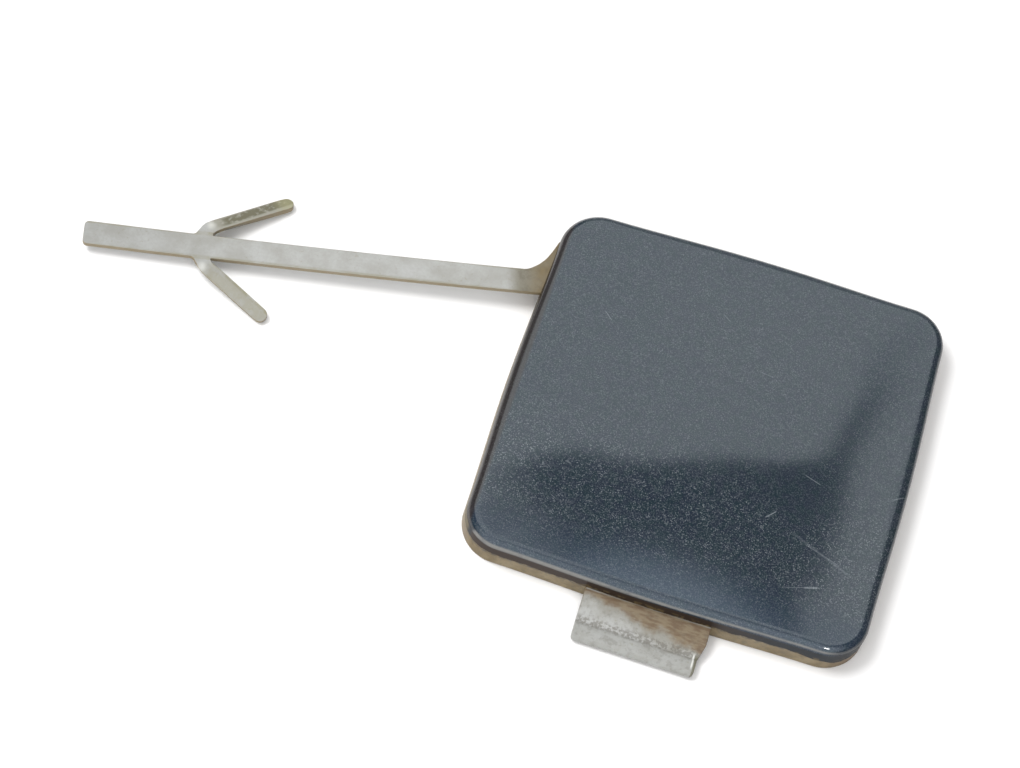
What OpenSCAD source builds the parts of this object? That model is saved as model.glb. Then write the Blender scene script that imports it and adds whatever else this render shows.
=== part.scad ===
// Cover cap for the towing eye socket of a car bumper.
// One moulding: a square hollow cap, a catch tab on its lower wall and a barbed strap on its left wall.
// The rim of the cap lies in the plane z = 0, its painted face looks along +Z,
// the strap runs towards -X and the catch tab towards -Y. All lengths are millimetres.

/* [Cap] */
// Length of the lower side of the rim, between the sharp corners
bottom_w = 80; // [60:0.1:110]
// Length of the upper side of the rim, between the sharp corners
top_w = 79.1; // [60:0.1:110]
// Height of the left side of the rim
left_h = 76; // [60:0.1:110]
// Height of the right side of the rim
right_h = 78.2; // [60:0.1:110]
// How far the upper side is shifted to the right of the lower side
lean = 1.9; // [-4:0.1:4]
// Outward bow of each side at its middle
side_bow = 0.65; // [0:0.05:1.5]
// Radius of the four corners in plan
corner_r = 8.1; // [4:0.1:16]
// Depth of the cap from the rim to the edge of the face
cap_depth = 7.5; // [6:0.1:16]
// Thickness of the side walls at the rim
wall_t = 1.8; // [1:0.1:3]
// Thickness of the face
face_t = 2; // [1.2:0.1:3]
// Radius of the rounded edge between face and walls
edge_r = 1.7; // [0.8:0.1:2.4]
// Draft of the walls, which are wider at the rim
wall_draft = 2.5; // [0:0.5:6]
// Rise of the middle of the face above its edge
face_crown = 0.5; // [0.1:0.1:2]

/* [Strap] */
// Length of the strap from the wall to its free end
strap_len = 91.4; // [80:0.1:140]
// Width of the strap
strap_w = 5; // [3.5:0.1:10]
// Thickness of the strap and its barbs
strap_t = 1.2; // [0.8:0.1:2.5]
// Distance of the strap's axis above the middle of the left wall
strap_up = 19.7; // [0:0.1:24]
// Height of the strap's upper surface at the wall, from the rim plane
strap_top = 5.6; // [4.5:0.1:6]
// Direction of the strap in plan, turned from -X towards -Y
strap_turn = 12.4; // [0:0.1:20]
// Slope of the strap down towards its free end
strap_slope = 1.8; // [0:0.1:2.5]
// Sideways bow of the strap at its middle
strap_bow = 0.4; // [0:0.1:3]
// How far the flared root reaches up the wall above the strap's axis
root_flare = 9.5; // [7:0.5:12]
// Width of the flared root beside the strap
root_flare_w = 2.4; // [1.5:0.1:5]

/* [Barbs] */
// Distance of the barbs' root from the wall, along the strap
barb_at = 68.8; // [35:0.5:75]
// Length of the upper barb beyond its fold line, to the middle of its round end
upper_barb_len = 16.2; // [8:0.1:20]
// Length of the lower barb beyond its fold line, to the middle of its round end
lower_barb_len = 14; // [8:0.1:20]
// Width of each barb
barb_w = 2.8; // [2:0.1:4]
// Angle between the barbs' root and the strap
barb_root_angle = 58; // [45:0.5:70]
// Angle in plan between the rest of the upper barb and the strap
upper_barb_angle = 31.5; // [20:0.5:45]
// Angle in plan between the rest of the lower barb and the strap
lower_barb_angle = 36.5; // [20:0.5:45]
// Distance of each fold line from the strap's axis
fold_at = 4.4; // [3.6:0.1:6]
// How far each barb is folded down
fold_angle = 17; // [0:1:20]

/* [Catch tab] */
// Width of the catch tab along the wall
tab_w = 24.9; // [12:0.1:40]
// Distance of the tab's middle to the left of the middle of the lower wall
tab_left = 2.1; // [-8:0.1:8]
// How far the tab reaches out from the rim
tab_reach = 10.3; // [6:0.1:16]
// Height of the tab's upper surface at the wall
tab_top = 3.4; // [2.8:0.1:4.2]
// Width of the raised lip along the tab's free edge
tab_lip = 3.6; // [2:0.1:5]

/* [Hidden] */

// Thickness of the slices that a blended shell is drawn over
slice_t = 0.02;
// Steps of a corner's arc, of a side and of the rounded edge
arc_steps = 10;
side_steps = 8;
edge_steps = 6;
// Insets of the rings that carry the crown of the face, as shares of half the width
crown_rings = [0.15, 0.35, 0.6];
// Inset of the wall at the height of the rounded edge
draft_in = (cap_depth - edge_r) * tan(wall_draft);
// Sunken depth of the strap and the tab into the wall
bury = wall_t * 0.6;
// Mean half sizes of the rim
half_w = (bottom_w + top_w) / 4;
half_h = (left_h + right_h) / 4;

// Sharp corners of the rim, anticlockwise from the lower left, about their own middle
rim_corners = [
    [-bottom_w / 2 - lean / 2, -half_h],
    [bottom_w / 2 - lean / 2, -half_h],
    [top_w / 2 + lean / 2, right_h - half_h],
    [-top_w / 2 + lean / 2, left_h - half_h]
];

// Place of the left side of the rim at a height y of the plan
function left_wall_x(y) =
    let (a = rim_corners[0], b = rim_corners[3])
    a[0] + (b[0] - a[0]) * (y - a[1]) / (b[1] - a[1]);

// Angle of the left side of the rim from the Y axis, towards +X
wall_lean = atan((rim_corners[3][0] - rim_corners[0][0]) / left_h);

function unit(v) = v / norm(v);
function inward(a, b) = let (d = unit(b - a)) [-d[1], d[0]];

// The same quadrilateral with every side moved inwards by d
function inset_corners(q, d) = [
    for (i = [0:3])
        let (n1 = inward(q[(i + 3) % 4], q[i]), n2 = inward(q[i], q[(i + 1) % 4]))
        q[i] + d * (n1 + n2) / (1 + n1 * n2)
];

// One rounded corner and the bowed side that follows it
function corner_and_side(a, b, c, next, r) =
    let (
        d1 = unit(b - a),
        d2 = unit(c - b),
        d3 = unit(next - c),
        turn = acos(d1 * d2),
        turn_next = acos(d2 * d3),
        start = b - d1 * r * tan(turn / 2),
        centre = start + inward(a, b) * r,
        from = atan2(d1[1], d1[0]) - 90,
        side_a = b + d2 * r * tan(turn / 2),
        side_b = c - d2 * r * tan(turn_next / 2)
    )
    concat(
        [for (k = [0:arc_steps]) let (t = from + turn * k / arc_steps) centre + r * [cos(t), sin(t)]],
        [for (k = [1:side_steps - 1])
            let (u = 2 * k / side_steps - 1)
            side_a + (side_b - side_a) * (u + 1) / 2 - inward(b, c) * side_bow * pow(1 - u * u, 2)]
    );

// Plan of the cap at an inset from the rim
function cap_plan(d) =
    let (q = inset_corners(rim_corners, d), r = max(corner_r - d, 1.5))
    [for (i = [0:3]) each corner_and_side(q[(i + 3) % 4], q[i], q[(i + 1) % 4], q[(i + 2) % 4], r)];

module cap_slice(d, z) {
    translate([0, 0, z - slice_t]) linear_extrude(slice_t) polygon(cap_plan(d));
}

// Solid body of the cap: drafted wall, rounded edge and slightly crowned face
module cap_body() {
    hull() {
        linear_extrude(slice_t) polygon(cap_plan(0));
        for (k = [0:edge_steps]) {
            a = 90 * k / edge_steps;
            cap_slice(draft_in + edge_r * (1 - cos(a)), cap_depth - edge_r * (1 - sin(a)));
        }
        for (s = crown_rings) cap_slice(draft_in + edge_r + half_w * s, cap_depth + face_crown * s * (2 - s));
    }
}

// Hollow behind the face, open at the rim
module cap_hollow() {
    hull() {
        translate([0, 0, -slice_t]) linear_extrude(slice_t) polygon(cap_plan(wall_t));
        cap_slice(wall_t + draft_in, cap_depth - face_t);
    }
}

// Upper part of the strap's plan: x along the strap from the wall, y across it
function strap_y(x) = let (u = 2 * x / strap_len - 1) strap_bow * (1 - u * u);

module strap_plan() {
    steps = 12;
    round_r = 0.9;
    offset(r = round_r) offset(delta = -round_r) polygon(concat(
        [for (k = [0:steps]) let (x = strap_len * k / steps) [x, strap_y(x) - strap_w / 2]],
        [for (k = [0:steps]) let (x = strap_len * (1 - k / steps)) [x, strap_y(x) + strap_w / 2]]
    ));
}

// Flare that ties the strap's root to the wall, on the side of the upper corner
module root_plan() {
    side = strap_w / 2;
    rotate(-strap_turn - wall_lean) polygon([
        [-bury, side],
        [-bury, -root_flare],
        [0, -root_flare],
        [root_flare_w * 0.55, -side - root_flare_w],
        [root_flare_w, -side - root_flare_w * 0.25],
        [root_flare_w + 1.5, -side + 1],
        [root_flare_w, side - 1.5],
        [0, side]
    ]);
}

module barb_bar(len) {
    translate([0, -barb_w / 2]) square([len, barb_w]);
    translate([len, 0]) circle(d = barb_w, $fn = 32);
}

// One barb laid flat: a steep root up to the fold line, then a long arm back towards the cap.
// The lower barb is on side 1 and the upper one on side -1.
module barb_plan(side) {
    root_len = fold_at / sin(barb_root_angle);
    arm_angle = side > 0 ? lower_barb_angle : upper_barb_angle;
    arm_len = side > 0 ? lower_barb_len : upper_barb_len;
    translate([barb_at, strap_y(barb_at)]) rotate(180 - side * barb_root_angle) {
        barb_bar(root_len);
        translate([root_len, 0]) rotate(side * (barb_root_angle - arm_angle)) barb_bar(arm_len);
    }
}

// Band of the plan that stays flat between the two fold lines
module flat_band() {
    translate([0, strap_y(barb_at) - fold_at]) square([strap_len, 2 * fold_at]);
}

module folded_barb(side) {
    translate([0, strap_y(barb_at) + side * fold_at, 0]) rotate([-side * fold_angle, 0, 0])
        translate([0, -strap_y(barb_at) - side * fold_at, -strap_t]) linear_extrude(strap_t) difference() {
            barb_plan(side);
            translate([0, strap_y(barb_at) - side * (strap_len - fold_at) - strap_len])
                square([strap_len, 2 * strap_len]);
        }
}

// The strap in its own frame: upper surface at z = 0, root at x = 0, x towards the free end
module strap_flat() {
    fillet_r = 0.6;
    translate([0, 0, -strap_t]) linear_extrude(strap_t) offset(r = -fillet_r) offset(delta = fillet_r) union() {
        translate([-bury, 0]) strap_plan();
        root_plan();
        intersection() {
            union() {
                barb_plan(1);
                barb_plan(-1);
            }
            flat_band();
        }
    }
    folded_barb(1);
    folded_barb(-1);
}

module strap() {
    color("gainsboro") translate([left_wall_x(strap_up), strap_up, strap_top])
        rotate([0, 0, 180 + strap_turn]) rotate([0, strap_slope, 0]) strap_flat();
}

// Section of the catch tab: x outwards from the rim, y up
module tab_section() {
    groove = tab_reach - tab_lip;
    nose_r = 0.75;
    offset(r = nose_r * 0.6) offset(delta = -nose_r * 0.6) polygon([
        [-bury, tab_top],
        [1.2, tab_top],
        [groove - 0.9, 2.3],
        [groove, 1.75],
        [groove + 0.8, 2.3],
        [tab_reach - 0.8, 2.1],
        [tab_reach, 1.2],
        [tab_reach, 0.6],
        [tab_reach - 0.7, 0.15],
        [groove, 0.15],
        [1.5, 1.1],
        [-bury, 1.1]
    ]);
}

// Plan of the catch tab: its free corners are round and its right end steps in
module tab_plan() {
    round_r = 0.9;
    step_in = 0.9;
    offset(r = round_r) offset(delta = -round_r) polygon([
        [-tab_w / 2, -tab_reach - 0.5],
        [tab_w / 2 - step_in, -tab_reach],
        [tab_w / 2 - step_in, -tab_reach * 0.7],
        [tab_w / 2, -tab_reach * 0.38],
        [tab_w / 2, 2 * bury],
        [-tab_w / 2, 2 * bury]
    ]);
}

module catch_tab() {
    color("gainsboro") translate([-tab_left, -half_h, 0]) intersection() {
        translate([-tab_w / 2, 0, 0]) rotate([90, 0, 90]) mirror([1, 0, 0]) linear_extrude(tab_w) tab_section();
        linear_extrude(cap_depth) tab_plan();
    }
}

module cap_shell() {
    color("slategray") difference() {
        cap_body();
        cap_hollow();
    }
}

// The whole moulding, with the roots of strap and tab trimmed off inside the hollow
module tow_eye_cover() {
    cap_shell();
    difference() {
        union() {
            strap();
            catch_tab();
        }
        cap_hollow();
    }
}

tow_eye_cover();
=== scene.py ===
# Looks of the cover cap for a towing eye socket: one moulding in bare plastic and the coat of paint on it.
# Lengths are written in millimetres and multiplied by MM, because Blender works in metres.
import math
import random
import bmesh
import bpy
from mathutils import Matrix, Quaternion, Vector


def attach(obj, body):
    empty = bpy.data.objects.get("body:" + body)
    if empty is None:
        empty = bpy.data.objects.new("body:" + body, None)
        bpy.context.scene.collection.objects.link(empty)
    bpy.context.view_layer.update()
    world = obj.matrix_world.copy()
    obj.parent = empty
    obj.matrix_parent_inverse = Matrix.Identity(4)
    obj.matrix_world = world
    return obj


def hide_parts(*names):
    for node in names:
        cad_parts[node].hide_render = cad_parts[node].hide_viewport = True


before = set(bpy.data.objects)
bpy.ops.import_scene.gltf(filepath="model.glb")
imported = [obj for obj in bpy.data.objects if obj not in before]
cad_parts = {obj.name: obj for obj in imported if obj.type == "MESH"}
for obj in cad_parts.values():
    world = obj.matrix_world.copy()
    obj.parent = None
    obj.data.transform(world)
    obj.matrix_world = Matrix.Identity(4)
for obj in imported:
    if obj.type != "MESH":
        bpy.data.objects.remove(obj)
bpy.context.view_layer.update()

MM = 0.001
# Half the side of the square that each outline starts from
HALF = 20.0
# Places closer together than this count as the same
SAME = 0.01
# Vertices closer together than this are merged
MERGED = 0.002
# Largest angle between faces that is shaded smooth
SMOOTH_ANGLE = math.radians(40)
# Angles between faces, in radians, past which an edge is rounded
CAP_SHARP = 1.0
STRAP_SHARP = 1.1
TAB_SHARP = 0.6

# Sizes of the cap, whose corners at the rim are counted from the lower left one
RIM_CORNERS = [(-40.95, -38.55), (39.05, -38.55), (40.5, 39.65), (-38.6, 37.45)]
SIDE_BOW = 0.65
CORNER_R = 8.1
CORNER_STEPS = 14
SIDE_STEPS = 16
CAP_DEPTH = 7.5
WALL_T = 1.8
FACE_T = 2.0
EDGE_R = 1.7
EDGE_STEPS = 10
RIM_EDGE_R = 0.22
HOLLOW_EDGE_R = 0.7
DRAFT = math.tan(math.radians(2.5))
# Corners at the ends of the left and of the right side of the rim
LEFT_SIDE = (0, 3)
RIGHT_SIDE = (1, 2)
# Rise of the face towards its middle, and how far from the middle it starts
CROWN = 0.5
CROWN_REACH = 50.0
# The rounded edge lies lower than the face by more than this
FACE_LEVEL = 0.001
# Only the middle vertex of the face is this near to the middle
FACE_MIDDLE = 2.0
# Rings of the crowned face, as shares of the way from its edge to its middle
FACE_RINGS = [0.01, 0.05, 0.11, 0.18, 0.28, 0.4, 0.54, 0.7, 0.86]

# Sizes of the strap, with places along it counted from its root, where it starts a little inside the cap
STRAP_LEN = 91.4
STRAP_END = 90.3
STRAP_STATIONS = [3.6, 14.0, 25.0, 36.0, 47.0, 57.0]
STRAP_PAST_BARBS = 79.0
STRAP_W = 5.0
STRAP_T = 1.2
STRAP_ROOT = (-39.15, 19.7, 5.6)
STRAP_TURN = math.radians(12.4)
STRAP_SLOPE = math.radians(1.8)
STRAP_BOW = 0.4
STRAP_SUNK = 3.0
STRAP_CORNER_R = 0.9
STRAP_EDGE_R = 0.16
# Flare of the root, turned to follow the wall, with places along and across the strap
ROOT_TURN = math.radians(14.2)
FLARE_R = 0.7
FLARE = [(2.4, -3.15), (1.3, -4.95), (0.55, -7.2), (0.0, -9.5)]

# Sizes of the barbs, which leave the strap at one angle and bend at this distance from its middle line
FOLD_AT = 4.4
BARB_AT = 68.8
BARB_W = 2.8
BARB_ROOT = math.radians(58)
BARB_ROOT_R = 0.45
BARB_BEND_R = 0.5
BARB_END_R = BARB_W / 2 * 0.97
# For each barb, its side of the strap, its angle past the bend and its length past the bend
LOWER_BARB = (1, math.radians(36.5), 14.0)
UPPER_BARB = (-1, math.radians(31.5), 16.7)
# Past the bend a barb is folded down by this angle, and nothing nearer to the root than this is folded
FOLD = math.radians(17)
FOLD_FROM = 30.0

# Sizes of the catch tab, which is shaped from a block
TAB_W = 24.9
TAB_LEFT = 2.1
TAB_REACH = 10.3
TAB_BLOCK = 8.0
TAB_CORNER_R = 0.9
TAB_EDGE_R = 0.2
# Distance out from the rim, height of the upper side and height of the lower side
TAB_SECTION = [
    (-0.9, 3.4, 1.1),
    (1.2, 3.4, 1.1),
    (3.9, 2.86, 0.66),
    (5.8, 2.34, 0.31),
    (6.3, 2.05, 0.17),
    (6.7, 1.82, 0.15),
    (7.1, 2.02, 0.15),
    (7.5, 2.26, 0.15),
    (8.5, 2.24, 0.15),
    (9.5, 2.1, 0.15),
    (10.3, 1.3, 0.5),
]
# The right end of the tab steps back by this much, from this distance out and over this stretch
TAB_STEP = 0.9
TAB_STEP_FROM = 3.9
TAB_STEP_OVER = 3.3

# Depth to which the strap and the tab are sunk into the wall
SUNK = 0.9

# Coat of paint: its thickness, the gap between it and the plastic, and the height of its lower edge
PAINT_T = 0.06
PAINT_OFF = 0.01
PAINT_LOW = 3.8
# Uneven lower edge: cuts in each stretch, waves, the height they share out, and how far a point strays
PAINT_CUTS = 5
PAINT_WAVES = 9
PAINT_WAVE_H = 0.22
PAINT_STRAY = 0.05
# The waves run along x plus this share of y
PAINT_WAVE_Y = 0.83
# Around this place the coat reaches further down
PAINT_DIP_AT = (38.0, -36.0)
PAINT_DIP_REACH = 14.0
PAINT_DIP = 1.6

# Camera of the photograph, with the distances at which it clips in metres
CAM_AZIMUTH = math.radians(-2)
CAM_ELEVATION = math.radians(63)
CAM_ROLL = math.radians(19.75)
CAM_DISTANCE = 603.3
CAM_TARGET = (-39.61, -1.25, 0)
CAM_LENS = 109.41
CAM_SENSOR = 36
CAM_CLIP = (0.01, 20)


# Short words for modelling
def let_go():
    bpy.ops.object.select_all(action="DESELECT")


def take(piece):
    let_go()
    piece.select_set(True)
    bpy.context.view_layer.objects.active = piece


def edit(piece):
    take(piece)
    bpy.ops.object.mode_set(mode="EDIT")


def leave():
    bpy.ops.object.mode_set(mode="OBJECT")


def pick(piece, kind, wanted):
    """Selects those vertices, edges or faces of the piece for which wanted says so."""
    bpy.ops.mesh.select_mode(type=kind)
    bpy.ops.mesh.select_all(action="DESELECT")
    mesh = bmesh.from_edit_mesh(piece.data)
    rows = {"VERT": mesh.verts, "EDGE": mesh.edges, "FACE": mesh.faces}[kind]
    for element in rows:
        if wanted(element):
            element.select_set(True)
    mesh.select_flush_mode()
    bmesh.update_edit_mesh(piece.data)


def shift(x=0.0, y=0.0, z=0.0):
    bpy.ops.transform.translate(value=(x * MM, y * MM, z * MM))


def draw_out(x=0.0, y=0.0, z=0.0):
    """Extrudes what is selected by this much."""
    bpy.ops.mesh.extrude_region_move(TRANSFORM_OT_translate={"value": (x * MM, y * MM, z * MM)})


def inset(thickness, depth=0.0):
    bpy.ops.mesh.inset(thickness=thickness * MM, depth=depth * MM, use_even_offset=True)


def bevel(radius, steps, affect="EDGES"):
    bpy.ops.mesh.bevel(affect=affect, offset=radius * MM, segments=steps, profile=0.5)


def near(place, spot, reach=SAME):
    """True where a vertex place in metres lies within reach of the spot in millimetres, seen in plan."""
    return abs(place.x - spot[0] * MM) < reach * MM and abs(place.y - spot[1] * MM) < reach * MM


def put(piece, old, new):
    """Moves the vertex that stands at old in plan to new."""
    pick(piece, "VERT", lambda v: near(v.co, old))
    shift(new[0] - old[0], new[1] - old[1])


def cut(spot, normal, **how):
    """Cuts all of the piece that is being edited along a plane."""
    bpy.ops.mesh.select_mode(type="VERT")
    bpy.ops.mesh.select_all(action="SELECT")
    bpy.ops.mesh.bisect(plane_co=[c * MM for c in spot], plane_no=normal, **how)


def outwards():
    """Merges doubles in the piece that is being edited and turns all its faces outwards."""
    bpy.ops.mesh.select_mode(type="VERT")
    bpy.ops.mesh.select_all(action="SELECT")
    bpy.ops.mesh.remove_doubles(threshold=MERGED * MM)
    bpy.ops.mesh.normals_make_consistent(inside=False)


def start_plane(name, low, high, z=0.0):
    """A rectangle in plan, left in edit mode."""
    let_go()
    bpy.ops.mesh.primitive_plane_add(size=1.0)
    piece = bpy.context.object
    piece.name = name
    piece.data.name = name
    edit(piece)
    bpy.ops.mesh.select_all(action="SELECT")
    bpy.ops.transform.resize(value=((high[0] - low[0]) * MM, (high[1] - low[1]) * MM, 1))
    shift((high[0] + low[0]) / 2, (high[1] + low[1]) / 2, z)
    return piece


def moved_in(inwards):
    """The sharp corners of the rim with every side moved inwards."""
    quad = [Vector(c) for c in RIM_CORNERS]
    corners = []
    for i, here in enumerate(quad):
        before = (here - quad[i - 1]).normalized()
        after = (quad[(i + 1) % 4] - here).normalized()
        normals = Vector((-before.y, before.x)), Vector((-after.y, after.x))
        corners.append(here + (normals[0] + normals[1]) * inwards / (1 + normals[0].dot(normals[1])))
    return corners


def cap_outline(name, inwards, z):
    """A flat face with the outline of the cap: four corners made round, and sides that bow outwards."""
    corners = moved_in(inwards)
    cap = start_plane(name, (-HALF, -HALF), (HALF, HALF), z)
    for corner in corners:
        put(cap, (math.copysign(HALF, corner.x), math.copysign(HALF, corner.y)), corner)
    bpy.ops.mesh.select_all(action="SELECT")
    corner_r = CORNER_R - inwards
    bevel(corner_r, CORNER_STEPS, "VERTICES")
    pick(cap, "EDGE", lambda e: e.calc_length() > HALF * MM)
    bpy.ops.mesh.subdivide(number_cuts=SIDE_STEPS - 1)
    for i, start in enumerate(corners):
        end = corners[(i + 1) % 4]
        along = (end - start).normalized()
        out = Vector((along.y, -along.x))
        straight = (end - start).length - 2 * corner_r
        for k in range(1, SIDE_STEPS):
            u = 2 * k / SIDE_STEPS - 1
            spot = start + along * (corner_r + straight * (u + 1) / 2)
            put(cap, spot, spot + out * SIDE_BOW * (1 - u * u) ** 2)
    pick(cap, "FACE", lambda f: True)
    return cap


def round_over(radius):
    """Rounded edge from the top of the wall to the face."""
    done_in = 0.0
    done_up = 0.0
    for k in range(1, EDGE_STEPS + 1):
        turn = math.pi / 2 * k / EDGE_STEPS
        go_in = radius * (1 - math.cos(turn))
        go_up = radius * math.sin(turn)
        inset(go_in - done_in, go_up - done_up)
        done_in = go_in
        done_up = go_up


def crown_over(piece, face_z):
    """The face rises slightly and smoothly towards its middle."""
    done = 0.0
    for ring in FACE_RINGS:
        draw_out()
        size = (1 - ring) / (1 - done)
        bpy.ops.transform.resize(value=(size, size, 1), center_override=(0, 0, 0))
        done = ring
    bpy.ops.mesh.poke()
    pick(piece, "FACE", lambda f: f.calc_center_median().z > (face_z - FACE_LEVEL) * MM)
    bpy.ops.mesh.hide(unselected=True)
    pick(piece, "VERT", lambda v: not v.hide and near(v.co, (0, 0), FACE_MIDDLE))
    bpy.ops.transform.translate(
        value=(0, 0, CROWN * MM),
        use_proportional_edit=True,
        proportional_edit_falloff="SMOOTH",
        proportional_size=CROWN_REACH * MM,
    )
    bpy.ops.mesh.reveal(select=False)


def pick_sharp(piece, z):
    """Selects the sharp edges of the cap at this height."""
    def wanted(edge):
        level = all(abs(v.co.z - z * MM) < SAME * MM for v in edge.verts)
        return level and edge.calc_face_angle(0) > CAP_SHARP

    pick(piece, "EDGE", wanted)


def make_cap():
    """Hollow cap with drafted walls, open at the rim."""
    cap = cap_outline("cover_moulding", 0.0, 0.0)
    wall_h = CAP_DEPTH - EDGE_R
    inset(wall_h * DRAFT, wall_h)
    round_over(EDGE_R)
    crown_over(cap, CAP_DEPTH)
    pick(cap, "EDGE", lambda e: e.is_boundary)
    bpy.ops.mesh.edge_face_add()
    inset(WALL_T)
    hollow_h = CAP_DEPTH - FACE_T
    inset(hollow_h * DRAFT, -hollow_h)
    outwards()
    pick_sharp(cap, 0.0)
    bevel(RIM_EDGE_R, 3)
    pick_sharp(cap, hollow_h)
    bevel(HOLLOW_EDGE_R, 4)
    outwards()
    leave()
    return cap


def strap_y(x):
    """Middle line of the strap, which bows to one side."""
    u = 2 * (x + SUNK) / STRAP_LEN - 1
    return STRAP_BOW * (1 - u * u)


def strap_side(x, side):
    """A place on one side of the strap."""
    return Vector((x, strap_y(x) + side * STRAP_W / 2))


def climb(edge):
    """Difference in height between the ends of an edge, in millimetres."""
    return abs(edge.verts[0].co.z - edge.verts[1].co.z) / MM


def pick_edge(piece, ends):
    pick(piece, "EDGE", lambda e: all(any(near(v.co, end) for v in e.verts) for end in ends))


def draw_edge(piece, old, new):
    """Extrudes the edge with these old ends to the new ones."""
    pick_edge(piece, old)
    step = (new[0] + new[1] - old[0] - old[1]) / 2
    draw_out(step.x, step.y)
    for a, b in zip(old, new):
        put(piece, a + step, b)


def barb_spots(barb):
    """Pairs of points in the plan of the strap: where a barb bends, and its end."""
    side, arm, reach = barb
    half = BARB_W / 2
    root = Vector((-math.cos(BARB_ROOT), side * math.sin(BARB_ROOT)))
    root_out = Vector((math.sin(BARB_ROOT), side * math.cos(BARB_ROOT)))
    run = Vector((-math.cos(arm), side * math.sin(arm)))
    run_out = Vector((math.sin(arm), side * math.cos(arm)))
    bend = Vector((BARB_AT, strap_y(BARB_AT))) + root * FOLD_AT / math.sin(BARB_ROOT)
    mitre = (root_out + run_out).normalized() * half / math.cos((BARB_ROOT - arm) / 2)
    end = bend + run * (reach + half)
    return (bend - mitre, bend + mitre), (end - run_out * half, end + run_out * half)


def fold_down(strap, side):
    """Folds a barb down along the line where it bends."""
    line = strap_y(BARB_AT) + side * FOLD_AT
    cut((0, line, 0), (0, 1, 0))
    pick(strap, "VERT", lambda v: v.co.x > FOLD_FROM * MM and side * (v.co.y - line * MM) > SAME * MM)
    bpy.ops.transform.rotate(value=side * FOLD, orient_axis="X", center_override=(0, line * MM, 0))


def round_corners(piece, spots, radius, steps):
    pick(piece, "VERT", lambda v: any(near(v.co, spot) for spot in spots))
    bevel(radius, steps, "VERTICES")


def flared(x, y):
    """A place on the flare of the root, turned to follow the wall."""
    forward = math.cos(ROOT_TURN)
    sideways = math.sin(ROOT_TURN)
    return Vector((x * forward + y * sideways, y * forward - x * sideways))


def make_strap():
    """Strap with a flared root and two barbs, drawn flat and then laid against the wall."""
    side_in = math.cos(BARB_ROOT) * BARB_W / 2
    half_root = BARB_W / 2 * math.sin(BARB_ROOT)
    barb_from = BARB_AT - (STRAP_W / 2 + side_in) / math.tan(BARB_ROOT) - half_root
    barb_to = BARB_AT - (STRAP_W / 2 - side_in) / math.tan(BARB_ROOT) + half_root
    stations = STRAP_STATIONS + [barb_from, barb_to, STRAP_PAST_BARBS, STRAP_END]
    first = (-STRAP_SUNK, -STRAP_W / 2)
    strap = start_plane("strap", first, (stations[0], STRAP_W / 2))
    for x in (-STRAP_SUNK, stations[0]):
        for side in (1, -1):
            put(strap, (x, side * STRAP_W / 2), strap_side(x, side))
    for a, b in zip(stations, stations[1:]):
        draw_edge(strap, (strap_side(a, 1), strap_side(a, -1)), (strap_side(b, 1), strap_side(b, -1)))
    old = (strap_side(-STRAP_SUNK, -1), strap_side(stations[0], -1))
    flare_spots = []
    for x, y in FLARE:
        turned = (flared(-STRAP_SUNK, y), flared(x, y))
        draw_edge(strap, old, turned)
        old = turned
        flare_spots.append(turned[1])
    inner = []
    bends = []
    ends = []
    for barb in (LOWER_BARB, UPPER_BARB):
        root = (strap_side(barb_from, barb[0]), strap_side(barb_to, barb[0]))
        bend, end = barb_spots(barb)
        draw_edge(strap, root, bend)
        draw_edge(strap, bend, end)
        inner += root
        bends += bend
        ends += end
    bpy.ops.mesh.select_mode(type="FACE")
    bpy.ops.mesh.select_all(action="SELECT")
    bpy.ops.mesh.dissolve_faces()
    round_corners(strap, ends, BARB_END_R, 8)
    round_corners(strap, [strap_side(STRAP_END, side) for side in (1, -1)], STRAP_CORNER_R, 6)
    round_corners(strap, inner, BARB_ROOT_R, 4)
    round_corners(strap, bends, BARB_BEND_R, 3)
    round_corners(strap, [strap_side(stations[0], -1)] + flare_spots[:3], FLARE_R, 3)
    bpy.ops.mesh.select_mode(type="FACE")
    bpy.ops.mesh.select_all(action="SELECT")
    shift(z=-STRAP_T)
    draw_out(z=STRAP_T)
    outwards()
    fold_down(strap, 1)
    fold_down(strap, -1)
    pick(strap, "EDGE", lambda e: e.calc_face_angle(0) > STRAP_SHARP and climb(e) < STRAP_T * 0.75)
    bevel(STRAP_EDGE_R, 3)
    leave()
    strap.rotation_euler = (0, STRAP_SLOPE, math.pi + STRAP_TURN)
    strap.location = [c * MM for c in STRAP_ROOT]
    bpy.ops.object.transform_apply(location=True, rotation=True, scale=True)
    edit(strap)
    corners = moved_in(SUNK)
    along = (corners[3] - corners[0]).normalized()
    cut((corners[0].x, corners[0].y, 0), (along.y, -along.x, 0), clear_outer=True, use_fill=True)
    outwards()
    leave()
    return strap


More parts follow.
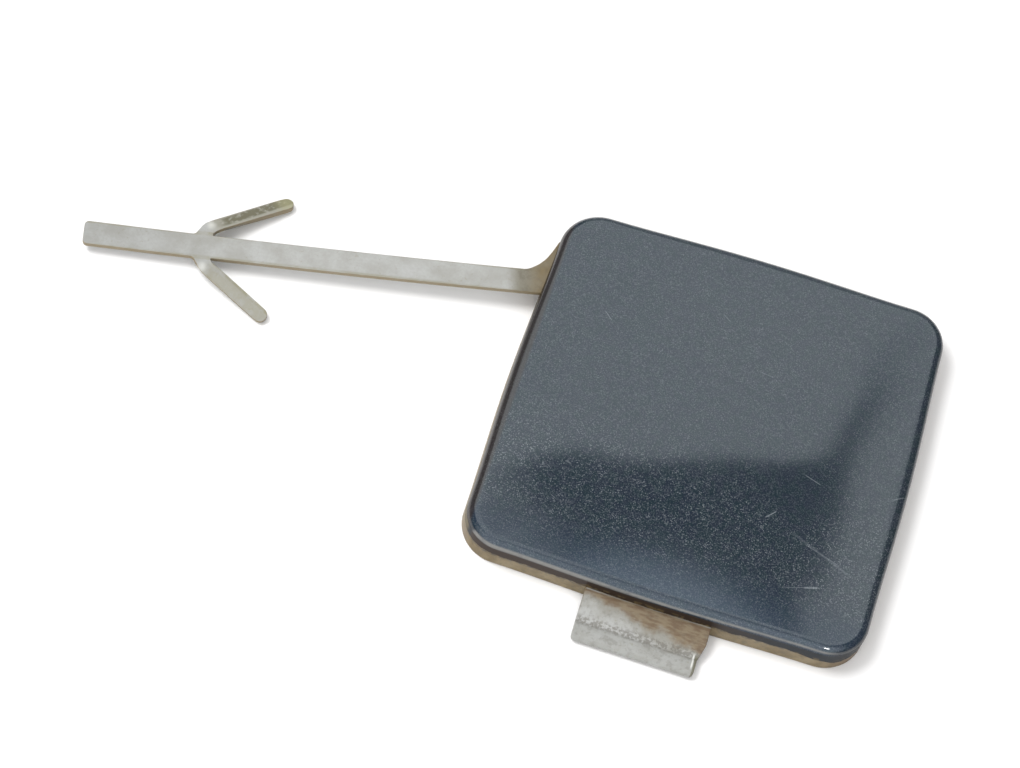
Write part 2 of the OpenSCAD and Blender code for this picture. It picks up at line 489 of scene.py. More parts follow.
def make_tab():
    """Catch tab: a sloping shelf, a groove along it and a lip at its free edge."""
    left = -TAB_LEFT - TAB_W / 2
    right = left + TAB_W
    wall = RIM_CORNERS[0][1]
    tab = start_plane("tab", (left, wall - TAB_REACH), (right, wall + SUNK))
    draw_out(z=TAB_BLOCK)
    for station in TAB_SECTION[1:-1]:
        cut((0, wall - station[0], 0), (0, 1, 0))
    for out, top, low in TAB_SECTION:
        row = (wall - out) * MM
        middle = TAB_BLOCK / 2 * MM
        pick(tab, "VERT", lambda v: abs(v.co.y - row) < SAME * MM and v.co.z < middle)
        shift(z=low)
        pick(tab, "VERT", lambda v: abs(v.co.y - row) < SAME * MM and v.co.z > middle)
        shift(z=top - TAB_BLOCK)
        step = TAB_STEP * min(max((out - TAB_STEP_FROM) / TAB_STEP_OVER, 0), 1)
        if step > 0:
            put(tab, (right, wall - out), (right - step, wall - out))
    nose = wall - TAB_REACH
    corners = [(left, nose), (right - TAB_STEP, nose)]
    pick(tab, "EDGE", lambda e: any(all(near(v.co, c) for v in e.verts) for c in corners))
    bevel(TAB_CORNER_R, 5)
    outwards()
    pick(tab, "EDGE", lambda e: e.calc_face_angle(0) > TAB_SHARP)
    bevel(TAB_EDGE_R, 3)
    outwards()
    leave()
    return tab


def weld(body, part):
    """Joins a part to the body as one solid."""
    take(body)
    joint = body.modifiers.new("weld", "BOOLEAN")
    joint.operation = "UNION"
    joint.solver = "EXACT"
    joint.object = part
    bpy.ops.object.modifier_apply(modifier=joint.name)
    bpy.data.objects.remove(part)


def smooth(piece):
    """Soft shading over rounded edges, with flat faces kept flat."""
    take(piece)
    bpy.ops.object.shade_smooth_by_angle(angle=SMOOTH_ANGLE)
    even = piece.modifiers.new("even", "WEIGHTED_NORMAL")
    even.keep_sharp = True
    bpy.ops.object.modifier_apply(modifier=even.name)


def make_paint():
    """Coat over the face, its rounded edge and the upper part of the walls, with an uneven lower edge."""
    coat = cap_outline("paint_coat", PAINT_LOW * DRAFT - PAINT_T, PAINT_LOW)
    wall_h = CAP_DEPTH - EDGE_R - PAINT_LOW
    inset(wall_h * DRAFT, wall_h)
    round_over(EDGE_R + PAINT_T)
    crown_over(coat, CAP_DEPTH + PAINT_T)
    pick(coat, "EDGE", lambda e: e.is_boundary)
    bpy.ops.mesh.subdivide(number_cuts=PAINT_CUTS)
    leave()
    ragged = random.Random(7)
    # Pitch, start and height of each wave
    waves = [
        (ragged.uniform(0.2, 2.2), ragged.uniform(0, 6.3), PAINT_WAVE_H / (k + 2))
        for k in range(PAINT_WAVES)
    ]
    for v in coat.data.vertices:
        if v.co.z < (PAINT_LOW + SAME) * MM:
            x = v.co.x / MM
            y = v.co.y / MM
            aslant = x + y * PAINT_WAVE_Y
            wave = sum(height * math.sin(pitch * aslant + start) for pitch, start, height in waves)
            dip = max(0.0, 1 - math.hypot(x - PAINT_DIP_AT[0], y - PAINT_DIP_AT[1]) / PAINT_DIP_REACH)
            v.co.z += (wave + ragged.uniform(-PAINT_STRAY, PAINT_STRAY) - PAINT_DIP * dip) * MM
    take(coat)
    skin = coat.modifiers.new("skin", "SOLIDIFY")
    skin.thickness = (PAINT_T - PAINT_OFF) * MM
    skin.offset = -1
    bpy.ops.object.modifier_apply(modifier=skin.name)
    edit(coat)
    outwards()
    leave()
    return coat


# Finishes
def shade(red, green, blue):
    """A colour as it is seen on a screen, 0 to 255, as Blender's linear colour."""
    parts = [c / 255 for c in (red, green, blue)]
    return (*[c / 12.92 if c < 0.04 else ((c + 0.055) / 1.055) ** 2.4 for c in parts], 1)


# Colours of the paint and of the dirt on it, and of painted shade and a painted reflection at its edges
PAINT_DARK = shade(31, 42, 53)
PAINT_LIGHT = shade(36, 46, 56)
PAINT_GREEN = shade(31, 51, 50)
PAINT_VIOLET = shade(40, 43, 58)
PAINT_BLUE = shade(24, 44, 66)
FLAKE = shade(190, 196, 200)
SCRATCH_LIGHT = shade(170, 176, 182)
# Dark for painted shade on the edges and walls of the coat, for the broken line below its rounded edge, and
# for paint mist below the coat
SHADE_AND_OVERSPRAY_DARK = shade(30, 33, 36)
WALL_DIRTY = shade(98, 88, 62)
EDGE_BROWN = shade(52, 41, 34)
DUST_AND_SHEEN = shade(120, 119, 116)
# Colours of the plastic and of the stains on it, and of painted shade and a painted highlight
PLASTIC_LIGHT = shade(166, 167, 165)
PLASTIC_DULL = shade(151, 151, 146)
OLIVE = shade(132, 128, 107)
OLIVE_DEEP = shade(96, 93, 74)
TIP_YELLOW = shade(160, 158, 120)
# Brown for streaks of dirt on the tab and for painted shade at the ends of the walls
BROWN_DIRT_AND_SHADE = shade(96, 76, 58)
ROOT_TAN = shade(109, 104, 88)
TAB_BROWN = shade(120, 104, 79)
GROOVE_DARK = shade(82, 76, 66)
WALL_BROWN = shade(110, 95, 66)
WALL_TAN = shade(130, 116, 88)
# Light for the whitened bends of the barbs and for the painted highlight on the lip
WHITENED_AND_HIGHLIGHT = shade(225, 226, 220)
# Greys that darken what they are multiplied with, at the free end of the strap and on the lip of the tab
END_TINT = (0.87, 0.87, 0.87, 1)
LIP_TINT = (0.87, 0.87, 0.86, 1)
# Whitened places at the bends of the barbs, and how far they reach
WHITENED = [((-104.5, 9.8, 2.7), 1.5), ((-103.4, 0.8, 2.7), 1.5)]
# Distance of the groove of the tab from the rim
GROOVE_OUT = 6.3
# Sizes of the cells and the specks that make the flakes, and the place on the face that has few of them,
# which is painted shade for a darker reflection there
FLAKE_SIZE = 0.24
SMALL_FLAKE_SIZE = 0.26
FEWER_FLAKES_SHADE = (18.5, -8.5, CAP_DEPTH)
FEWER_FLAKES_SHADE_REACH = 11.0
# Start, end, half width and strength of each scratch on the face, in plan
SCRATCHES = [
    ((20.7, -28.4), (27.7, -26.0), 0.14, 0.18),
    ((24.6, -27.1), (27.6, -26.1), 0.26, 0.32),
    ((19.0, -16.4), (33.8, -22.2), 0.35, 0.1),
    ((22.5, -18.2), (31.0, -20.6), 0.12, 0.22),
    ((19.4, -4.2), (23.3, -5.4), 0.12, 0.3),
    ((14.2, -15.6), (16.2, -13.5), 0.14, 0.4),
    ((37.2, -3.6), (39.6, -2.0), 0.12, 0.3),
    ((-26.4, 16.6), (-24.4, 14.8), 0.12, 0.25),
    ((-4.0, 24.0), (-2.0, 22.6), 0.1, 0.2),
    ((6.0, 14.1), (9.1, 13.8), 0.08, 0.2),
]


class Finish:
    """A material under construction, with short words for the nodes that are used most."""

    def __init__(self, name):
        self.material = bpy.data.materials.new(name)
        self.material.use_nodes = True
        self.nodes = self.material.node_tree.nodes
        self.links = self.material.node_tree.links
        self.bsdf = self.nodes["Principled BSDF"]
        self.spots = self.nodes.new("ShaderNodeTexCoord").outputs["Object"]
        self.x, self.y, self.z = self.axes(self.spots)

    def feed(self, value, socket):
        if isinstance(value, bpy.types.NodeSocket):
            self.links.new(value, socket)
        else:
            socket.default_value = value

    def add(self, kind, inputs=None, **settings):
        node = self.nodes.new(kind)
        for name, value in settings.items():
            setattr(node, name, value)
        for name, value in (inputs or {}).items():
            self.feed(value, node.inputs[name])
        return node

    def axes(self, spots):
        split = self.add("ShaderNodeSeparateXYZ", {0: spots})
        return [self.combine(split.outputs[k], "MULTIPLY", 1 / MM) for k in range(3)]

    def combine(self, a, operation, b=0.0):
        """The outcome of this operation on one or two values."""
        return self.add("ShaderNodeMath", {0: a, 1: b}, operation=operation).outputs[0]

    def away(self, value, middle):
        """How far a value is from this middle, on either side."""
        return self.combine(self.combine(value, "SUBTRACT", middle), "ABSOLUTE")

    def past_low(self):
        """How far a place lies out past the lower side of the rim."""
        return self.combine(RIM_CORNERS[0][1], "SUBTRACT", self.y)

    def past_side(self, ends):
        """How far a place lies out past the left or right side of the rim, which has these corners."""
        low, high = [RIM_CORNERS[k] for k in ends]
        lean = (high[0] - low[0]) / (high[1] - low[1])
        side_x = self.combine(self.times(self.y, lean), "ADD", low[0] - lean * low[1])
        return self.times(self.combine(self.x, "SUBTRACT", side_x), math.copysign(1, low[0]))

    def times(self, *values):
        total = values[0]
        for value in values[1:]:
            total = self.combine(total, "MULTIPLY", value)
        return total

    def rise(self, value, low, high, start=0.0, end=1.0):
        """Smooth step from start at low to end at high."""
        inputs = {"Value": value, "From Min": low, "From Max": high, "To Min": start, "To Max": end}
        return self.add("ShaderNodeMapRange", inputs, interpolation_type="SMOOTHSTEP").outputs[0]

    def cloud(self, size, detail=3.0, spots=None):
        """Soft noise with patches of about this size in millimetres, 0 to 1."""
        inputs = {"Vector": spots or self.spots, "Scale": 1 / MM / size, "Detail": detail, "Roughness": 0.55}
        return self.add("ShaderNodeTexNoise", inputs).outputs["Fac"]

    def grains(self, size):
        """Cells of about this size in millimetres: distance from a cell's middle, and its chance, 0 to 1."""
        cells = self.add("ShaderNodeTexVoronoi", {"Vector": self.spots, "Scale": 1 / MM / size})
        chance = self.add("ShaderNodeSeparateColor", {0: cells.outputs["Color"]}).outputs[0]
        return cells.outputs["Distance"], chance

    def blend(self, amount, first, second, way="MIX"):
        node = self.add("ShaderNodeMix", data_type="RGBA", blend_type=way)
        self.feed(amount, node.inputs[0])
        self.feed(first, node.inputs[6])
        self.feed(second, node.inputs[7])
        return node.outputs[2]

    def frame(self, place, turn):
        """Coordinates counted from a place in millimetres and turned about the upright axis."""
        moved = self.add(
            "ShaderNodeMapping",
            {"Vector": self.spots, "Location": [c * MM for c in place], "Rotation": (0, 0, turn)},
            vector_type="TEXTURE",
        )
        return self.axes(moved.outputs[0])

    def near_spot(self, place, reach):
        """1 at a place in millimetres, falling to 0 at this reach."""
        middle = [c * MM for c in place]
        gap = self.add("ShaderNodeVectorMath", {0: self.spots, 1: middle}, operation="DISTANCE")
        return self.rise(gap.outputs["Value"], reach * MM, 0.0)

    def scratch(self, start, end, width):
        """1 on a thin straight scratch between two places in plan, fading to its ends."""
        run = Vector(end) - Vector(start)
        along, across = self.frame((*start, 0), math.atan2(run.y, run.x))[:2]
        line = self.rise(self.combine(across, "ABSOLUTE"), width, width * 0.2)
        ends = self.rise(self.away(along, run.length / 2), run.length / 2, run.length / 3)
        return self.times(line, ends)

    def bump(self, height, strength, depth):
        node = self.add("ShaderNodeBump", {"Height": height, "Strength": strength, "Distance": depth * MM})
        return node.outputs["Normal"]

    def surface(self, **inputs):
        for name, value in inputs.items():
            self.feed(value, self.bsdf.inputs[name.replace("_", " ")])
        return self.material


def metallic_paint():
    """Dark blue-grey paint with light flakes under a clear coat, dirty at its edges and finely scratched."""
    f = Finish("metallic_paint")
    past_low = f.past_low()
    above_walls = f.combine(f.z, "SUBTRACT", CAP_DEPTH - EDGE_R)

    # Ground colour, faintly mottled and bluer at the lower side
    colour = f.blend(f.rise(f.cloud(22.0), 0.35, 0.65), PAINT_DARK, PAINT_LIGHT)
    mottle = f.blend(f.rise(f.cloud(1.7), 0.4, 0.6), PAINT_GREEN, PAINT_VIOLET)
    colour = f.blend(0.25, colour, mottle)
    colour = f.blend(f.rise(f.y, -26.0, -36.0, 0.0, 0.35), colour, PAINT_BLUE)

    # Flakes in clumps, most of them low on the face as painted glints against its dark reflection, though
    # not at its lower side, and fewer near the sparse place as painted shade for a darker reflection there
    clumps = f.rise(f.cloud(2.6), 0.35, 0.65, 0.45, 1.0)
    far, chance = f.grains(FLAKE_SIZE)
    big_flakes = f.times(f.rise(far, 0.6, 0.15), f.rise(chance, 0.4, 1.0), clumps)
    small_flakes = f.rise(f.cloud(SMALL_FLAKE_SIZE, 2.0), 0.45, 0.75)
    painted_glint_share = f.times(f.rise(f.y, -2.0, -18.0, 0.18, 0.43), f.rise(f.y, -35.0, -25.0, 0.35, 1.0))
    painted_glint_share = f.times(painted_glint_share, f.rise(f.near_spot(FEWER_FLAKES_SHADE, FEWER_FLAKES_SHADE_REACH), 0.0, 0.8, 1.0, 0.3))
    colour = f.blend(f.times(big_flakes, painted_glint_share), colour, FLAKE)
    colour = f.blend(f.times(small_flakes, 0.09), colour, FLAKE)

    # Scratches
    marks = 0.0
    for start, end, width, strength in SCRATCHES:
        marks = f.combine(marks, "MAXIMUM", f.times(f.scratch(start, end, width), strength))
    colour = f.blend(marks, colour, SCRATCH_LIGHT)

    # Painted shade: a dark reflection on the rounded edge all round and on the walls, which starts lower
    # along the lower side
    low_side = f.times(f.rise(past_low, -2.65, -1.95), f.rise(f.x, 36.0, 31.0))
    other_sides = f.combine(1.0, "SUBTRACT", low_side)
    edge = f.times(f.rise(above_walls, 1.4, 0.7), other_sides)
    edge = f.combine(edge, "MAXIMUM", f.rise(above_walls, 0.5, -0.3))
    colour = f.blend(f.times(edge, 0.85), colour, SHADE_AND_OVERSPRAY_DARK)

    # Dust and a painted reflection of the floor on the rounded edge of the lower side, down to a line that
    # is higher at its right
    dust_and_sheen_end = f.rise(f.x, -16.0, 10.0, -0.05, 0.5)
    dust_and_sheen = f.rise(f.combine(above_walls, "SUBTRACT", dust_and_sheen_end), 0.0, 0.4)
    dust_and_sheen = f.times(low_side, f.rise(above_walls, 1.25, 0.9), dust_and_sheen)
    dust_and_sheen = f.times(dust_and_sheen, f.rise(f.cloud(2.5), 0.2, 0.6, 0.6, 1.0))
    colour = f.blend(f.times(dust_and_sheen, 0.9), colour, DUST_AND_SHEEN)

    # Broken dark line where the rounded edge meets the wall
    line = f.rise(f.away(above_walls, -0.2), 0.3, 0.1)
    colour = f.blend(f.times(line, low_side, f.rise(f.cloud(1.5), 0.3, 0.6), 0.5), colour, SHADE_AND_OVERSPRAY_DARK)

    # Brown under the dust and on the left wall, which is dirtier further down
    left = f.rise(f.past_side(LEFT_SIDE), -2.158, -1.358)
    under_dust = f.times(low_side, f.rise(above_walls, 0.5, -0.1), f.rise(f.x, 26.0, 6.0))
    brown = f.combine(f.times(left, 0.7), "MAXIMUM", under_dust)
    colour = f.blend(f.times(brown, 0.9), colour, EDGE_BROWN)
    ragged = f.combine(above_walls, "ADD", f.times(f.cloud(1.5), 0.6))
    left_wall = f.times(left, f.rise(ragged, 0.6, 0.1))
    colour = f.blend(f.times(left_wall, 0.9), colour, WALL_DIRTY)

    # Worn lower edge, further up over the catch tab
    over_tab = f.times(f.rise(f.away(f.x, -TAB_LEFT), 14.0, 12.0), 0.9, low_side)
    worn = f.rise(f.combine(f.z, "SUBTRACT", over_tab), PAINT_LOW + 0.5, PAINT_LOW - 0.5)
    worn = f.times(worn, f.rise(f.cloud(1.6, 4.0), 0.45, 0.62))
    colour = f.blend(f.times(worn, 0.6), colour, WALL_BROWN)

    # Gloss, less on the walls and along the right side of the face
    right_side = f.rise(f.past_side(RIGHT_SIDE), -2.765, -1.665, 0.0, 0.4)
    dull = f.combine(f.rise(above_walls, 0.8, 0.1), "MAXIMUM", right_side)
    return f.surface(
        Base_Color=colour,
        Roughness=f.rise(f.cloud(9.0), 0.3, 0.7, 0.42, 0.5),
        Metallic=0.25,
        Normal=f.bump(f.cloud(0.5, 2.0), 0.12, 0.02),
        Coat_Weight=f.rise(dull, 0.0, 1.0, 1.0, 0.25),
        Coat_Roughness=0.055,
        Coat_IOR=1.6,
        Specular_IOR_Level=0.0,
    )


def barb_places(f, barb):
    """Place along a barb from its bend, distance from its middle line, and 1 where the barb is."""
    side, arm = barb[:2]
    bend = Vector((BARB_AT - FOLD_AT / math.tan(BARB_ROOT), strap_y(BARB_AT) + side * FOLD_AT, 0))
    place = Vector(STRAP_ROOT) + Quaternion((0, 0, 1), math.pi + STRAP_TURN) @ bend
    run, across = f.frame(place, STRAP_TURN - side * arm)[:2]
    off_middle = f.combine(across, "ABSOLUTE")
    on_barb = f.times(f.rise(run, -1.0, 2.0), f.rise(run, 20.0, 19.0), f.rise(off_middle, 4.0, 3.0))
    return run, off_middle, on_barb


def bare_plastic():
    """Pale grey plastic, dirty and brown on the walls and where the strap and the tab leave them."""
    f = Finish("bare_plastic")
    along, across = f.frame(STRAP_ROOT, math.pi + STRAP_TURN)[:2]
    out = f.past_low()

    # Blotches, specks and a fine mottle
    colour = f.blend(f.rise(f.cloud(4.0, 5.0), 0.3, 0.75), PLASTIC_LIGHT, PLASTIC_DULL)
    colour = f.blend(f.times(f.rise(f.cloud(0.7), 0.6, 0.75), 0.4), colour, OLIVE)
    colour = f.blend(f.rise(f.cloud(0.5, 2.0), 0.35, 0.65, 0.0, 0.25), colour, PLASTIC_DULL)

    # Darker towards the free end of the strap
    colour = f.blend(f.rise(along, 45.0, 88.0), colour, END_TINT, "MULTIPLY")

    # Olive line along the edges of the strap
    off_middle = f.away(across, STRAP_BOW / 2)
    edges = f.times(f.rise(off_middle, 2.0, 2.45), f.rise(off_middle, 3.2, 2.9))
    edges = f.times(edges, f.rise(f.cloud(3.0), 0.3, 0.6, 0.4, 1.0))
    colour = f.blend(f.times(edges, 0.6), colour, OLIVE)

    # Upper barb mottled olive inside a lighter rim, lower barb lightly stained
    run, off_middle, on_barb = barb_places(f, UPPER_BARB)
    inner = f.rise(off_middle, 1.15, 0.7)
    mottled = f.rise(f.cloud(1.0, 4.0), 0.32, 0.52)
    colour = f.blend(f.times(on_barb, 0.5), colour, OLIVE)
    colour = f.blend(f.times(on_barb, f.rise(run, 1.0, 4.0), inner, mottled, 0.9), colour, OLIVE_DEEP)
    colour = f.blend(f.times(on_barb, f.rise(run, 13.0, 16.5), 0.45), colour, TIP_YELLOW)
    off_middle, on_barb = barb_places(f, LOWER_BARB)[1:]
    rim = f.rise(off_middle, 0.9, 1.3, 0.55, 0.95)
    colour = f.blend(f.times(on_barb, rim, f.rise(f.cloud(1.6, 4.0), 0.3, 0.6, 0.4, 1.0)), colour, OLIVE)

    # Root of the strap, tan and then brown near the wall
    root = f.times(f.rise(along, 8.0, 4.6), f.rise(f.x, -36.0, -36.5), f.rise(f.y, 8.0, 10.0))
    colour = f.blend(f.times(root, 0.85), colour, ROOT_TAN)
    near_wall = f.times(f.rise(along, 4.5, 0.5), f.rise(f.cloud(2.4), 0.2, 0.7, 0.5, 0.9), root)
    colour = f.blend(near_wall, colour, WALL_BROWN)
    colour = f.blend(f.times(root, f.rise(f.cloud(1.0, 4.0), 0.45, 0.65), 0.3), colour, GROOVE_DARK)

    # Catch tab: brown at the wall, blotched on the shelf, specks along the groove, cleaner lip
    tab = f.rise(out, 0.35, 0.75)
    wander = f.combine(out, "ADD", f.times(f.combine(f.cloud(3.5, 4.0), "SUBTRACT", 0.5), 5.5))
    wander = f.combine(wander, "SUBTRACT", f.rise(f.x, -15.0, 9.0, -1.7, 1.7))
    brown = f.rise(wander, 4.2, 2.2)
    colour = f.blend(f.times(tab, f.rise(wander, 6.5, 3.5), 0.5), colour, ROOT_TAN)
    colour = f.blend(f.times(tab, brown, 0.85), colour, TAB_BROWN)
    drawn = f.add("ShaderNodeVectorMath", {0: f.spots, 1: (0.3, 1.0, 1.0)}, operation="MULTIPLY").outputs[0]
    streaks = f.times(brown, f.rise(f.cloud(0.8, 4.0, drawn), 0.4, 0.62))
    colour = f.blend(f.times(tab, streaks, 0.75), colour, BROWN_DIRT_AND_SHADE)
    blotch = f.times(f.rise(out, 0.5, 2.0), f.rise(f.cloud(0.9, 5.0), 0.5, 0.66))
    colour = f.blend(f.times(tab, blotch, 0.22), colour, GROOVE_DARK)
    colour = f.blend(f.times(tab, f.rise(out, 6.0, 7.5)), colour, LIP_TINT, "MULTIPLY")
    groove = f.rise(f.away(out, GROOVE_OUT), 1.3, 0.2)
    dust = f.rise(f.cloud(0.6, 4.0), 0.42, 0.56)
    colour = f.blend(f.times(tab, groove, dust, 0.55), colour, GROOVE_DARK)

    # Right end of the lip: a painted highlight line and a painted shaded facet, standing in for light and
    # shade on the shape of its end
    lip = f.times(f.rise(out, 5.8, 6.5), tab)
    end_x = TAB_W / 2 - TAB_LEFT - TAB_STEP
    colour = f.blend(f.times(lip, f.rise(f.x, end_x - 0.55, end_x - 0.4), 0.85), colour, OLIVE_DEEP)
    painted_highlight_line = f.rise(f.away(f.x, end_x - 0.75), 0.22, 0.08)
    colour = f.blend(f.times(lip, f.rise(out, 9.4, 8.4), painted_highlight_line, 0.7), colour, WHITENED_AND_HIGHLIGHT)

    # Walls below the paint, and the mist of paint under its edge
    normal = f.add("ShaderNodeNewGeometry").outputs["Normal"]
    facing = f.add("ShaderNodeVectorMath", {0: f.spots, 1: normal}, operation="DOT_PRODUCT")
    outside = f.rise(facing.outputs["Value"], 0.005, 0.015)
    cap = f.times(f.rise(f.past_side(LEFT_SIDE), 0.992, 0.692), f.rise(out, 0.8, 0.45), outside)
    wall = f.blend(f.rise(f.cloud(2.6, 4.0), 0.35, 0.65), WALL_BROWN, WALL_TAN)
    wall = f.blend(f.times(f.rise(f.cloud(0.8, 4.0), 0.5, 0.68), 0.45), wall, GROOVE_DARK)
    # Painted shade: the walls darken towards their right and their left ends
    wall = f.blend(f.rise(f.x, 30.0, 39.0, 0.0, 0.7), wall, BROWN_DIRT_AND_SHADE)
    wall = f.blend(f.rise(f.x, -38.0, -39.4, 0.0, 0.6), wall, BROWN_DIRT_AND_SHADE)
    colour = f.blend(cap, colour, wall)
    above_edge = f.combine(f.z, "SUBTRACT", PAINT_LOW)
    mist = f.times(f.rise(above_edge, -0.9, -0.1), f.rise(above_edge, 0.8, 0.5), cap)
    mist = f.times(mist, f.rise(f.cloud(0.9, 4.0), 0.36, 0.6))
    colour = f.blend(f.times(mist, 0.85), colour, SHADE_AND_OVERSPRAY_DARK)

    # Side faces of the strap are browner, and the bends of the barbs are whitened
    normal_z = f.add("ShaderNodeSeparateXYZ", {0: normal}).outputs[2]
    sides = f.times(f.rise(normal_z, 0.75, 0.45), f.rise(normal_z, -0.75, -0.45))
    colour = f.blend(f.times(sides, f.rise(f.x, -38.0, -41.0), 0.85), colour, WALL_TAN)
    for spot, reach in WHITENED:
        colour = f.blend(f.times(f.near_spot(spot, reach), 0.8), colour, WHITENED_AND_HIGHLIGHT)
    grain = f.combine(f.times(f.cloud(0.35, 2.0), 0.5), "ADD", f.cloud(2.2))
    return f.surface(
        Base_Color=colour,
        Roughness=f.rise(f.cloud(4.0), 0.3, 0.7, 0.42, 0.6),
        Normal=f.bump(grain, 0.25, 0.05),
        Specular_IOR_Level=0.4,
    )


def matt_white():
    finish = bpy.data.materials.new("matt_white")
    finish.use_nodes = True
    bsdf = finish.node_tree.nodes["Principled BSDF"]
    bsdf.inputs["Base Color"].default_value = FLOOR_WHITE
    bsdf.inputs["Roughness"].default_value = 0.95
    bsdf.inputs["Specular IOR Level"].default_value = 0.1
    return finish


# Floor, lights and camera
FLOOR_HALF = 3000
FLOOR_Z = -0.12
FLOOR_WHITE = (0.9, 0.9, 0.9, 1)
# Distance of the lamps in metres
LAMP_GAP = 1.6
# Direction, width in metres, brightness, and whether a lamp shows in mirror images only
WINDOW = ((-0.54, 0.05, 0.84), 0.7, 11.9, False)
SMALL_LAMP = ((0.274, -0.577, 0.762), 0.24, 34.0, True)
# Height of the dark cards in millimetres and colour of their glow
CARD_H = 1500.0
CARD_TINT = (0.8, 0.95, 1.08, 1)
# Places in plan around the dark band that is mirrored in the face; those below y = -38.5 lie past the face
DARK_BAND = [
    (-34.5, -20.0),
    (-24.0, -14.0),
    (-12.0, -12.4),
    (0.0, -8.4),
    (11.0, -4.4),
    (19.0, -1.4),
    (23.0, 1.5),
    (28.0, 3.5),
    (29.0, -10.0),
    (28.5, -24.0),
    (25.5, -31.0),
    (21.0, -60.0),
    (-10.0, -60.0),
    (-24.0, -38.5),
    (-32.5, -33.0),
    (-38.5, -27.0),
]
# The same around the dark streak, which goes on from the band's upper right corner
DARK_STREAK = [
    (23.0, 1.5),
    (24.2, 8.0),
    (27.0, 18.0),
    (29.0, 33.0),
    (32.5, 33.0),
    (31.5, 18.0),
    (29.5, 10.0),
    (28.0, 3.5),
]
# Two places y on the face, and the glow of the card at the first and at the second
BAND_GLOW = (-38, -27, 2.1, 0.0)
STREAK_GLOW = (2, 40, 0.0, 0.6)
# Brightness of the tent between its panels
SKY_DIM = 0.14
# Direction, cosines where a panel starts and where it is full, and brightness
SKY_PANELS = [
    ((-0.13, 0.42, 0.9), 0.87, 0.95, 1.5),
    ((0.0, 0.9, 0.44), 0.9, 0.97, 0.45),
    ((0.0, -0.75, 0.66), 0.54, 0.86, 1.35),
]
# Colour of the tent where it is mirrored, and as light
SKY_MIRRORED = (0.91, 0.99, 1.02, 1)
SKY_LIGHT = (1.0, 0.99, 0.985, 1)


def make_floor():
    floor = start_plane("floor", (-FLOOR_HALF, -FLOOR_HALF), (FLOOR_HALF, FLOOR_HALF), FLOOR_Z)
    leave()
    floor.data.materials.append(matt_white())


def camera_place():
    """Direction from the target to the camera, and the camera's place in millimetres."""
    back = Vector((
        math.sin(CAM_AZIMUTH) * math.cos(CAM_ELEVATION),
        -math.cos(CAM_AZIMUTH) * math.cos(CAM_ELEVATION),
        math.sin(CAM_ELEVATION),
    ))
    return back, Vector(CAM_TARGET) + back * CAM_DISTANCE


def mirrored(x, y):
    """Place on the level of the dark cards that is mirrored at this place on the face, in millimetres."""
    from_middle = max(math.hypot(x, y), SAME)
    # The crown rises and levels out as a smooth step does
    share = max(0.0, 1 - from_middle / CROWN_REACH)
    height = CROWN * share * share * (3 - 2 * share)
    slope = CROWN * 6 * share * (1 - share) / CROWN_REACH
    normal = Vector((slope * x / from_middle, slope * y / from_middle, 1)).normalized()
    face = Vector((x, y, CAP_DEPTH + height))
    ray = (face - camera_place()[1]).normalized()
    away = ray - 2 * ray.dot(normal) * normal
    return face + away * (CARD_H - face.z) / away.z


def make_card(name, outline, glow):
    """Dark card high above, whose mirror image darkens this part of the face."""
    let_go()
    bpy.ops.mesh.primitive_circle_add(vertices=len(outline), radius=0.1, fill_type="NGON")
    card = bpy.context.object
    card.name = name
    edit(card)
    mesh = bmesh.from_edit_mesh(card.data)
    mesh.verts.ensure_lookup_table()
    old = [v.co.copy() for v in mesh.verts]
    for start, spot in zip(old, outline):
        new = mirrored(*spot)
        pick(card, "VERT", lambda v: (v.co - start).length < SAME * MM)
        bpy.ops.transform.translate(value=new * MM - start)
    leave()
    f = Finish(name)
    y_low, y_high, bright_low, bright_high = glow
    near_end = mirrored(0, y_low).y
    far_end = mirrored(0, y_high).y
    strength = f.rise(f.y, near_end, far_end, bright_low, bright_high)
    f.surface(Base_Color=(0, 0, 0, 1), Emission_Color=CARD_TINT, Emission_Strength=strength, Roughness=1.0)
    card.data.materials.append(f.material)


def make_camera():
    back, place = camera_place()
    lens = bpy.data.cameras.new("camera")
    lens.lens = CAM_LENS
    lens.sensor_width = CAM_SENSOR
    lens.clip_start = CAM_CLIP[0]
    lens.clip_end = CAM_CLIP[1]
    camera = bpy.data.objects.new("camera", lens)
    bpy.context.scene.collection.objects.link(camera)
    camera.location = place * MM
    camera.rotation_mode = "QUATERNION"
    camera.rotation_quaternion = back.to_track_quat("Z", "Y") @ Quaternion((0, 0, 1), CAM_ROLL)
    bpy.context.scene.camera = camera


def make_lamp(name, direction, size, bright, mirrored_only):
    """Round lamp of this size in metres and brightness, turned to the object."""
    lamp = bpy.data.lights.new(name, "AREA")
    lamp.shape = "DISK"
    lamp.size = size
    lamp.energy = bright * math.pi * size * size
    holder = bpy.data.objects.new(name, lamp)
    bpy.context.scene.collection.objects.link(holder)
    holder.location = Vector(direction).normalized() * LAMP_GAP
    holder.rotation_euler = (-Vector(direction)).to_track_quat("-Z", "Y").to_euler()
    holder.visible_glossy = mirrored_only
    holder.visible_diffuse = not mirrored_only


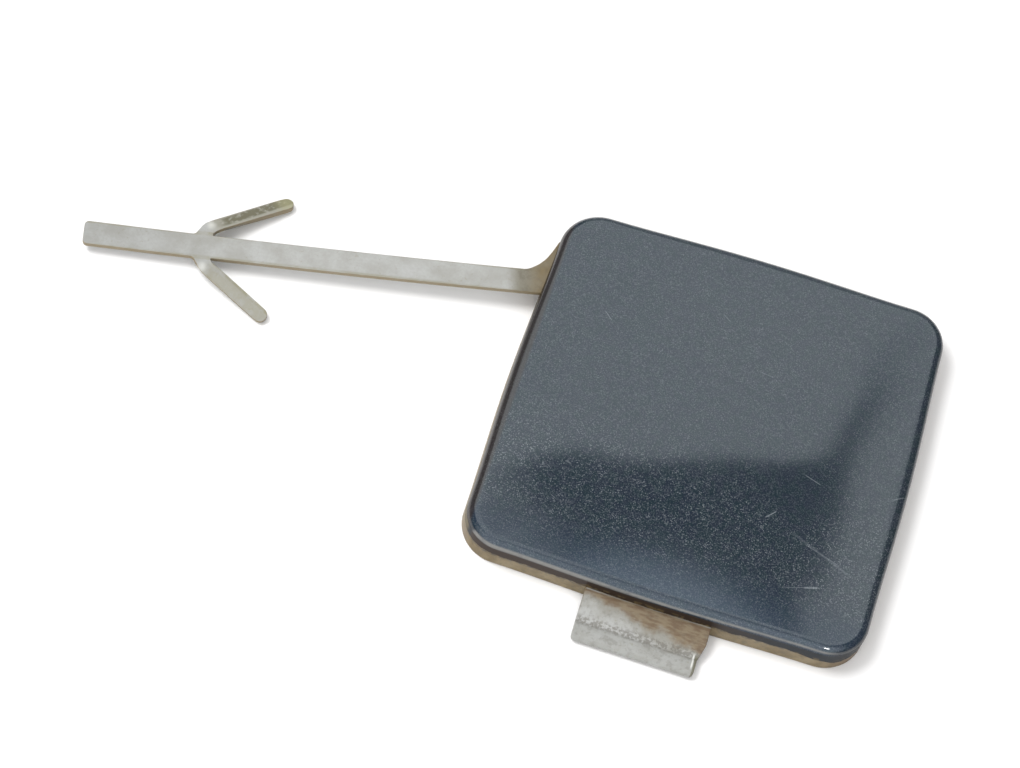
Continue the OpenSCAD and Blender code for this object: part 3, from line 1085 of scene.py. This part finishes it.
def make_sky():
    """Studio tent: dim all round, with soft bright panels."""
    world = bpy.data.worlds.new("tent")
    bpy.context.scene.world = world
    world.use_nodes = True
    tree = world.node_tree
    spots = tree.nodes.new("ShaderNodeTexCoord").outputs["Generated"]
    total = SKY_DIM
    for direction, low, high, bright in SKY_PANELS:
        facing = tree.nodes.new("ShaderNodeVectorMath")
        facing.operation = "DOT_PRODUCT"
        tree.links.new(spots, facing.inputs[0])
        facing.inputs[1].default_value = Vector(direction).normalized()
        panel = tree.nodes.new("ShaderNodeMapRange")
        panel.interpolation_type = "SMOOTHSTEP"
        tree.links.new(facing.outputs["Value"], panel.inputs["Value"])
        for name, value in (("From Min", low), ("From Max", high), ("To Min", 0.0), ("To Max", bright)):
            panel.inputs[name].default_value = value
        summed = tree.nodes.new("ShaderNodeMath")
        if isinstance(total, float):
            summed.inputs[0].default_value = total
        else:
            tree.links.new(total, summed.inputs[0])
        tree.links.new(panel.outputs[0], summed.inputs[1])
        total = summed.outputs[0]
    tree.links.new(total, tree.nodes["Background"].inputs["Strength"])
    tint = tree.nodes.new("ShaderNodeMix")
    tint.data_type = "RGBA"
    tint.inputs[6].default_value = SKY_LIGHT
    tint.inputs[7].default_value = SKY_MIRRORED
    tree.links.new(tree.nodes.new("ShaderNodeLightPath").outputs["Is Glossy Ray"], tint.inputs[0])
    tree.links.new(tint.outputs[2], tree.nodes["Background"].inputs["Color"])


make_camera()
moulding = make_cap()
weld(moulding, make_strap())
weld(moulding, make_tab())
edit(moulding)
outwards()
leave()
smooth(moulding)
coat = make_paint()
smooth(coat)
moulding.data.materials.clear()
moulding.data.materials.append(bare_plastic())
coat.data.materials.append(metallic_paint())
for piece, name in ((moulding, "cover"), (coat, "paint")):
    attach(piece, "root")
    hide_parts("tow_eye_cover")

make_floor()
make_card("dark_band", DARK_BAND, BAND_GLOW)
make_card("dark_streak", DARK_STREAK, STREAK_GLOW)
make_sky()
make_lamp("window", *WINDOW)
make_lamp("small_lamp", *SMALL_LAMP)
bpy.context.scene.view_settings.view_transform = "Standard"
